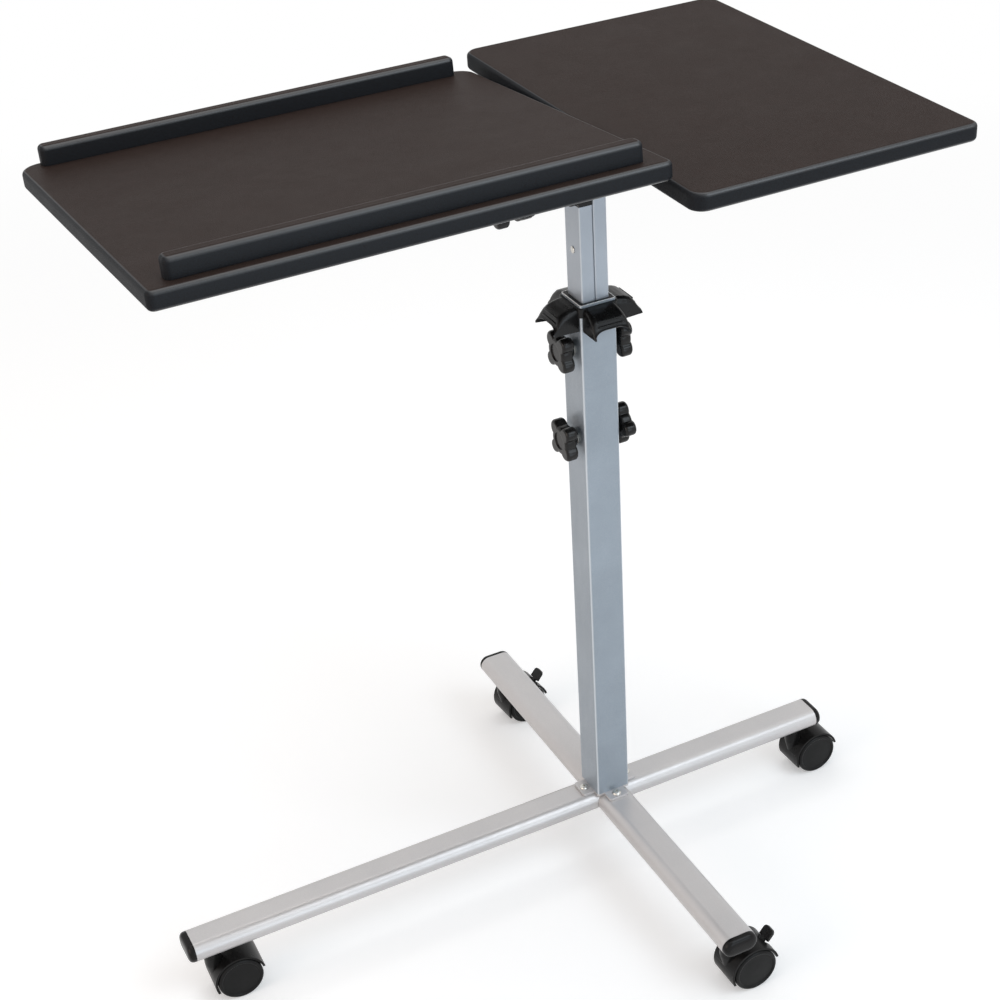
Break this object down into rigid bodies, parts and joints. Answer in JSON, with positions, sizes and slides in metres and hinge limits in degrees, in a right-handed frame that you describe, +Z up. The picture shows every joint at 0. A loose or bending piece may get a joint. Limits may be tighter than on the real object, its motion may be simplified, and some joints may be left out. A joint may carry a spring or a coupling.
{
  "type": "rolling laptop and projector stand",
  "caption": "Rolling stand with a tilting laptop board and a level projector board, each on its own sliding post in one square column on a cross of legs with twin-wheel casters",
  "frame": {"origin": "on the floor, at the centre of the bounding box", "axes": "+Z up; +X from the tilting board towards the level board, along the long leg; the front is -Y"},
  "size_m": [0.812, 0.576, 0.914],
  "materials": {
    "silver_paint": "satin silver powder coat",
    "black_paint": "matte black powder coat",
    "board_wood": "black vinyl laminate on board",
    "gloss_black": "glossy moulded",
    "matte_black": "semi-gloss moulded",
    "tread_black": "hard tread",
    "zinc_steel": "zinc plated"
  },
  "bodies": {
    "base": {"long_leg": "silver_paint", "front_leg": "silver_paint", "back_leg": "silver_paint", "left_end_cap": "gloss_black", "right_end_cap": "gloss_black", "front_end_cap": "gloss_black", "back_end_cap": "gloss_black", "foot_plate": "silver_paint", "foot_screws": "zinc_steel", "column_tube": "silver_paint", "collar": "matte_black", "top_guide": "matte_black", "lower_guide": "matte_black", "rivet_nuts": "zinc_steel", "stem_sockets": "matte_black", "caster_stems": "zinc_steel"},
    "left_slide": {"left_post": "silver_paint", "left_post_plug": "matte_black", "stop_rivet": "zinc_steel", "pivot_head": "matte_black", "pivot_bolt": "zinc_steel"},
    "tilt": {"tilt_bracket": "black_paint", "tilt_screws": "zinc_steel", "tilting_board": "board_wood", "front_rail": "board_wood", "back_rail": "board_wood", "friction_disc": "matte_black"},
    "tilt_lock": {"tilt_knob": "gloss_black", "tilt_insert": "zinc_steel"},
    "right_slide": {"right_post": "silver_paint", "right_post_plug": "matte_black", "level_bracket": "black_paint", "level_screws": "zinc_steel", "level_board": "board_wood"},
    "clamp_left_upper": {"knob_left_upper": "gloss_black", "stud_left_upper": "zinc_steel"},
    "clamp_left_lower": {"knob_left_lower": "gloss_black", "stud_left_lower": "zinc_steel"},
    "clamp_right_upper": {"knob_right_upper": "gloss_black", "stud_right_upper": "zinc_steel"},
    "clamp_right_lower": {"knob_right_lower": "gloss_black", "stud_right_lower": "zinc_steel"},
    "caster_left": {"caster_left_hood": "matte_black", "caster_left_axle": "zinc_steel"},
    "wheel_left_a": {"caster_left_wheel_a": "tread_black"},
    "wheel_left_b": {"caster_left_wheel_b": "tread_black"},
    "caster_front": {"caster_front_hood": "matte_black", "caster_front_axle": "zinc_steel"},
    "wheel_front_a": {"caster_front_wheel_a": "tread_black"},
    "wheel_front_b": {"caster_front_wheel_b": "tread_black"},
    "brake_front": {"brake_pedal_front": "matte_black"},
    "caster_back": {"caster_back_hood": "matte_black", "caster_back_axle": "zinc_steel"},
    "wheel_back_a": {"caster_back_wheel_a": "tread_black"},
    "wheel_back_b": {"caster_back_wheel_b": "tread_black"},
    "brake_back": {"brake_pedal_back": "matte_black"},
    "caster_right": {"caster_right_hood": "matte_black", "caster_right_axle": "zinc_steel"},
    "wheel_right_a": {"caster_right_wheel_a": "tread_black"},
    "wheel_right_b": {"caster_right_wheel_b": "tread_black"}
  },
  "joints": [
    {"name": "left_post_slide", "type": "slide", "parent": "base", "child": "left_slide", "axis": [0, 0, 1], "range_m": [-0.045, 0.1]},
    {"name": "right_post_slide", "type": "slide", "parent": "base", "child": "right_slide", "axis": [0, 0, 1], "range_m": [-0.045, 0.1]},
    {"name": "board_tilt", "type": "hinge", "parent": "left_slide", "child": "tilt", "pos_m": [0.09995, 0, 0.816], "axis": [1, 0, 0], "range_deg": [-25, 35]},
    {"name": "tilt_knob_turn", "type": "hinge", "parent": "left_slide", "child": "tilt_lock", "pos_m": [0.02465, 0, 0.816], "axis": [-1, 0, 0], "range_deg": [0, 360]},
    {"name": "clamp_turn_left_upper", "type": "hinge", "parent": "base", "child": "clamp_left_upper", "pos_m": [0.07795, 0, 0.648], "axis": [-1, 0, 0], "range_deg": [0, 540]},
    {"name": "clamp_turn_left_lower", "type": "hinge", "parent": "base", "child": "clamp_left_lower", "pos_m": [0.07795, 0, 0.548], "axis": [-1, 0, 0], "range_deg": [0, 540]},
    {"name": "clamp_turn_right_upper", "type": "hinge", "parent": "base", "child": "clamp_right_upper", "pos_m": [0.12195, 0, 0.648], "axis": [1, 0, 0], "range_deg": [0, 540]},
    {"name": "clamp_turn_right_lower", "type": "hinge", "parent": "base", "child": "clamp_right_lower", "pos_m": [0.12195, 0, 0.548], "axis": [1, 0, 0], "range_deg": [0, 540]},
    {"name": "swivel_left", "type": "hinge", "parent": "base", "child": "caster_left", "pos_m": [-0.37805, 0, 0.062], "axis": [0, 0, 1], "continuous": true},
    {"name": "roll_left_a", "type": "hinge", "parent": "caster_left", "child": "wheel_left_a", "pos_m": [-0.35506, -0.0008, 0.025], "axis": [0.0349, 0.9994, 0], "continuous": true},
    {"name": "roll_left_b", "type": "hinge", "parent": "caster_left", "child": "wheel_left_b", "pos_m": [-0.35506, -0.0008, 0.025], "axis": [0.0349, 0.9994, 0], "continuous": true},
    {"name": "swivel_front", "type": "hinge", "parent": "base", "child": "caster_front", "pos_m": [0.09995, -0.26, 0.062], "axis": [0, 0, 1], "continuous": true},
    {"name": "roll_front_a", "type": "hinge", "parent": "caster_front", "child": "wheel_front_a", "pos_m": [0.12295, -0.26, 0.025], "axis": [0, 1, 0], "continuous": true},
    {"name": "roll_front_b", "type": "hinge", "parent": "caster_front", "child": "wheel_front_b", "pos_m": [0.12295, -0.26, 0.025], "axis": [0, 1, 0], "continuous": true},
    {"name": "brake_press_front", "type": "hinge", "parent": "caster_front", "child": "brake_front", "pos_m": [0.13295, -0.26, 0.036], "axis": [0, 1, 0], "range_deg": [0, 12]},
    {"name": "swivel_back", "type": "hinge", "parent": "base", "child": "caster_back", "pos_m": [0.09995, 0.26, 0.062], "axis": [0, 0, 1], "continuous": true},
    {"name": "roll_back_a", "type": "hinge", "parent": "caster_back", "child": "wheel_back_a", "pos_m": [0.1229, 0.2616, 0.025], "axis": [-0.0698, 0.9976, 0], "continuous": true},
    {"name": "roll_back_b", "type": "hinge", "parent": "caster_back", "child": "wheel_back_b", "pos_m": [0.1229, 0.2616, 0.025], "axis": [-0.0698, 0.9976, 0], "continuous": true},
    {"name": "brake_press_back", "type": "hinge", "parent": "caster_back", "child": "brake_back", "pos_m": [0.13287, 0.2623, 0.036], "axis": [-0.0698, 0.9976, 0], "range_deg": [0, 12]},
    {"name": "swivel_right", "type": "hinge", "parent": "base", "child": "caster_right", "pos_m": [0.35495, 0, 0.062], "axis": [0, 0, 1], "continuous": true},
    {"name": "roll_right_a", "type": "hinge", "parent": "caster_right", "child": "wheel_right_a", "pos_m": [0.37795, 0.0004, 0.025], "axis": [-0.0175, 0.9998, 0], "continuous": true},
    {"name": "roll_right_b", "type": "hinge", "parent": "caster_right", "child": "wheel_right_b", "pos_m": [0.37795, 0.0004, 0.025], "axis": [-0.0175, 0.9998, 0], "continuous": true}
  ]
}
